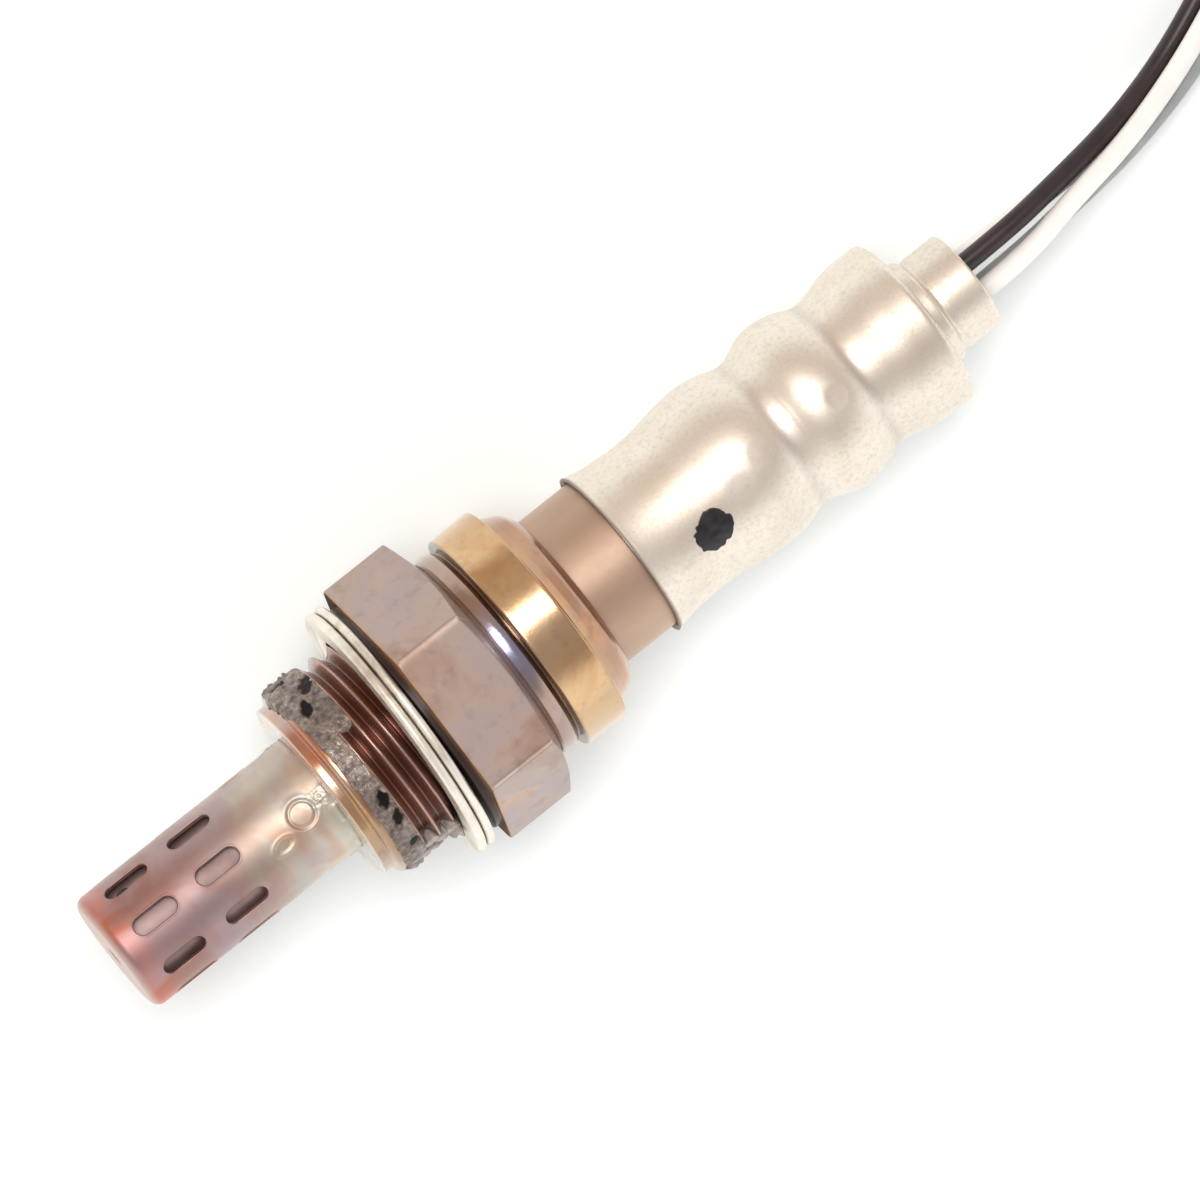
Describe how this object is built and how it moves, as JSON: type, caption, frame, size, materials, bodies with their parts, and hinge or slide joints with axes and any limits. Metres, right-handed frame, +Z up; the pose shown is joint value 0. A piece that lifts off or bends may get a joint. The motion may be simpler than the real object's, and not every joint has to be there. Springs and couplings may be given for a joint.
{
  "type": "oxygen sensor",
  "caption": "Heated exhaust oxygen sensor: slotted double tube tip, threaded steel shell with hexagon and crush gasket, crimped cover, and wires to a small plug.",
  "frame": {"origin": "on the sensor's axis at the sealing face of the crush gasket, where the thread starts", "axes": "+Z up as the sensor lies at rest; +X towards the sensing tip, which the rest tips up by 4.4 degrees about Y; wires leave towards -X"},
  "size_m": [0.1927, 0.0293, 0.0235],
  "materials": {
    "heat_tinted_steel": "heat tinted, satin",
    "plated_steel": "plated, heat stained, satin",
    "gasket_steel": "bright satin",
    "cover_steel": "drawn, bright satin",
    "inner_steel": "satin",
    "element_ceramic": "fired, matt",
    "packing_powder": "pressed powder",
    "contact_metal": "spring strip",
    "black_rubber": "matt",
    "black_sleeving": "satin",
    "white_sleeving": "satin",
    "grey_sleeving": "satin",
    "plug_plastic": "moulded, fine grain",
    "lock_plastic": "moulded",
    "seal_rubber": "matt",
    "tie_film": "thin film band"
  },
  "bodies": {
    "root": {"outer_shield": "heat_tinted_steel", "inner_shield": "inner_steel", "steel_shell": "plated_steel", "gasket_ring": "gasket_steel", "seat_ring": "inner_steel", "sensing_element": "element_ceramic", "heater_rod": "element_ceramic", "inner_contact": "contact_metal", "outer_contact": "contact_metal", "talc_seal": "packing_powder", "support_insulator": "element_ceramic", "packing_ring": "inner_steel", "lower_sleeve": "cover_steel", "upper_cover": "cover_steel", "terminal_holder": "element_ceramic", "holder_clip": "contact_metal", "grommet": "black_rubber", "lead_coil": "white_sleeving", "coil_tie": "tie_film", "plug_housing": "plug_plastic", "plug_seal": "seal_rubber", "plug_lock": "lock_plastic", "ferrule_black": "contact_metal", "wire_black": "black_sleeving", "wire_black_tail": "black_sleeving", "plug_terminal_black": "contact_metal", "ferrule_white_1": "contact_metal", "wire_white_1": "white_sleeving", "wire_white_1_tail": "white_sleeving", "plug_terminal_white_1": "contact_metal", "ferrule_grey": "contact_metal", "wire_grey": "grey_sleeving", "wire_grey_tail": "grey_sleeving", "plug_terminal_grey": "contact_metal", "ferrule_white_2": "contact_metal", "wire_white_2": "white_sleeving", "wire_white_2_tail": "white_sleeving", "plug_terminal_white_2": "contact_metal"}
  },
  "joints": []
}
